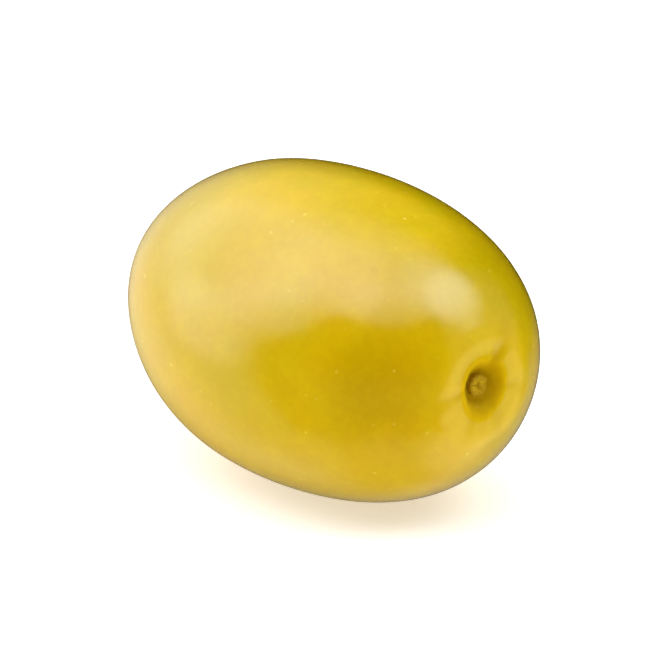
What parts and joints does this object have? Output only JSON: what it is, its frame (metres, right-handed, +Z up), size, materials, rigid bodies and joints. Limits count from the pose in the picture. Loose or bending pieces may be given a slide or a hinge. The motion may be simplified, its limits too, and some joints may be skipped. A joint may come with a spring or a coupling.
{
  "type": "green olive",
  "caption": "Whole green table olive: a blunt oval fruit with a puckered hollow where the stalk was, lying on its side on a small flat spot.",
  "frame": {"origin": "on the surface that the fruit rests on, below the middle of its box", "axes": "+X along the fruit's long axis towards the stalk end, +Z up, away from the surface it rests on"},
  "size_m": [0.0286, 0.0196, 0.0191],
  "materials": {
    "olive_skin": "moist, satin gloss, yellow green skin"
  },
  "bodies": {
    "root": {"olive": "olive_skin"}
  },
  "joints": []
}
